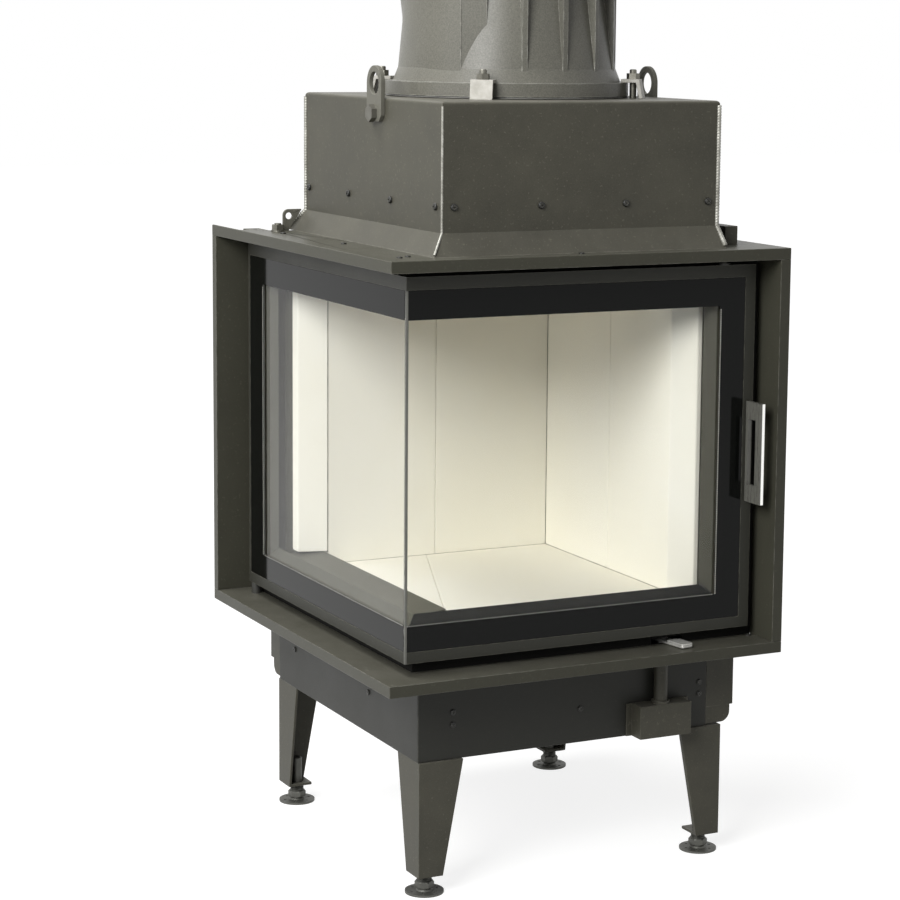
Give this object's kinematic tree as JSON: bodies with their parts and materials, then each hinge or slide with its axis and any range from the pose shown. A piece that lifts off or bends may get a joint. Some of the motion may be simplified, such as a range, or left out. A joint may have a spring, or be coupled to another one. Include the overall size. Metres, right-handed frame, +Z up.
{
  "type": "fireplace insert",
  "caption": "Corner wood-burning fireplace insert with a hinged L-shaped glass door, cream fireclay firebox, welded heat box, finned cast dome and legs with levelling feet.",
  "frame": {"origin": "on the floor under the middle of the bounding box", "axes": "+Z up, the front glass faces -Y and the side glass faces -X"},
  "size_m": [0.49, 0.528, 1.16],
  "materials": {
    "surround_paint": "matt anthracite heat-proof paint with an olive cast",
    "body_paint": "matt dark grey heat-proof paint",
    "bar_paint": "matt olive-grey heat-proof paint",
    "door_paint": "matt near-black paint",
    "cast_iron": "fine sand-cast grey iron",
    "clamp_steel": "bright bare steel",
    "zinc_steel": "dull zinc plate",
    "flue_steel": "matt dark grey heat-proof paint",
    "weld_steel": "ground bright weld",
    "stainless": "brushed stainless",
    "black_screws": "black oxide",
    "foot_steel": "dull zinc plate",
    "fireclay": "smooth cream fireclay",
    "vermiculite": "pressed vermiculite board",
    "clear_glass": "clear heat-proof glass with a black printed border",
    "rope": "woven glass-fibre rope"
  },
  "bodies": {
    "insert_body": {"air_box": "body_paint", "air_guide_tube": "body_paint", "air_inlet_spigot": "body_paint", "baffle_plates": "vermiculite", "baffle_rail": "body_paint", "base_casing": "body_paint", "base_front_panel": "body_paint", "base_side_panel": "body_paint", "base_tray": "body_paint", "cast_dome": "cast_iron", "catch_strike": "bar_paint", "dome_clamp_bolts": "zinc_steel", "dome_clamps": "clamp_steel", "dome_seal": "rope", "face_panel": "body_paint", "firebox_shell": "body_paint", "flue_spigot": "flue_steel", "foot_nuts": "zinc_steel", "hearth_pan": "body_paint", "hearth_tiles": "fireclay", "heat_box": "body_paint", "heat_box_screws": "black_screws", "heat_box_welds": "weld_steel", "hinge_bolt_and_nut": "zinc_steel", "hinge_bracket": "body_paint", "hinge_pins": "stainless", "legs": "body_paint", "lifting_lugs": "body_paint", "lining_back": "fireclay", "lining_corner": "fireclay", "lining_side": "fireclay", "lug_bolts": "zinc_steel", "panel_screws": "black_screws", "port_shelf": "body_paint", "rear_ear": "body_paint", "seal_bar": "bar_paint", "side_ledge": "bar_paint", "surround_bottom": "surround_paint", "surround_left": "surround_paint", "surround_right": "surround_paint", "surround_top": "surround_paint", "window_air_duct": "body_paint"},
    "glass_door": {"door_frame": "door_paint", "door_glass_front": "clear_glass", "door_glass_side": "clear_glass", "glass_clips": "door_paint", "door_seal": "rope", "door_handle": "stainless", "handle_screws": "black_screws", "catch_sleeve": "stainless"},
    "door_catch_ball": {"catch_ball": "stainless"},
    "air_control": {"air_lever": "stainless", "air_lever_nut": "stainless", "air_shaft": "stainless", "air_shutter": "bar_paint"},
    "foot_front_left_screw": {"foot_front_left": "foot_steel"},
    "foot_front_right_screw": {"foot_front_right": "foot_steel"},
    "foot_rear_left_screw": {"foot_rear_left": "foot_steel"},
    "foot_rear_right_screw": {"foot_rear_right": "foot_steel"}
  },
  "joints": [
    {"name": "door_hinge", "type": "hinge", "parent": "insert_body", "child": "glass_door", "pos_m": [-0.207, 0.218, 0.263], "axis": [0, 0, -1], "range_deg": [0, 90]},
    {"name": "catch_ball_spring", "type": "slide", "parent": "glass_door", "child": "door_catch_ball", "axis": [0, 0, -1], "range_m": [0, 0.0025], "stiffness_N_per_m": 1500, "springref_m": -0.002},
    {"name": "air_lever_turn", "type": "hinge", "parent": "insert_body", "child": "air_control", "pos_m": [0.121, -0.205, 0.25], "axis": [0, 0, 1], "range_deg": [-30, 10]},
    {"name": "foot_front_left_height", "type": "slide", "parent": "insert_body", "child": "foot_front_left_screw", "axis": [0, 0, -1], "range_m": [0, 0.03]},
    {"name": "foot_front_right_height", "type": "slide", "parent": "insert_body", "child": "foot_front_right_screw", "axis": [0, 0, -1], "range_m": [0, 0.03]},
    {"name": "foot_rear_left_height", "type": "slide", "parent": "insert_body", "child": "foot_rear_left_screw", "axis": [0, 0, -1], "range_m": [0, 0.03]},
    {"name": "foot_rear_right_height", "type": "slide", "parent": "insert_body", "child": "foot_rear_right_screw", "axis": [0, 0, -1], "range_m": [0, 0.03]}
  ]
}
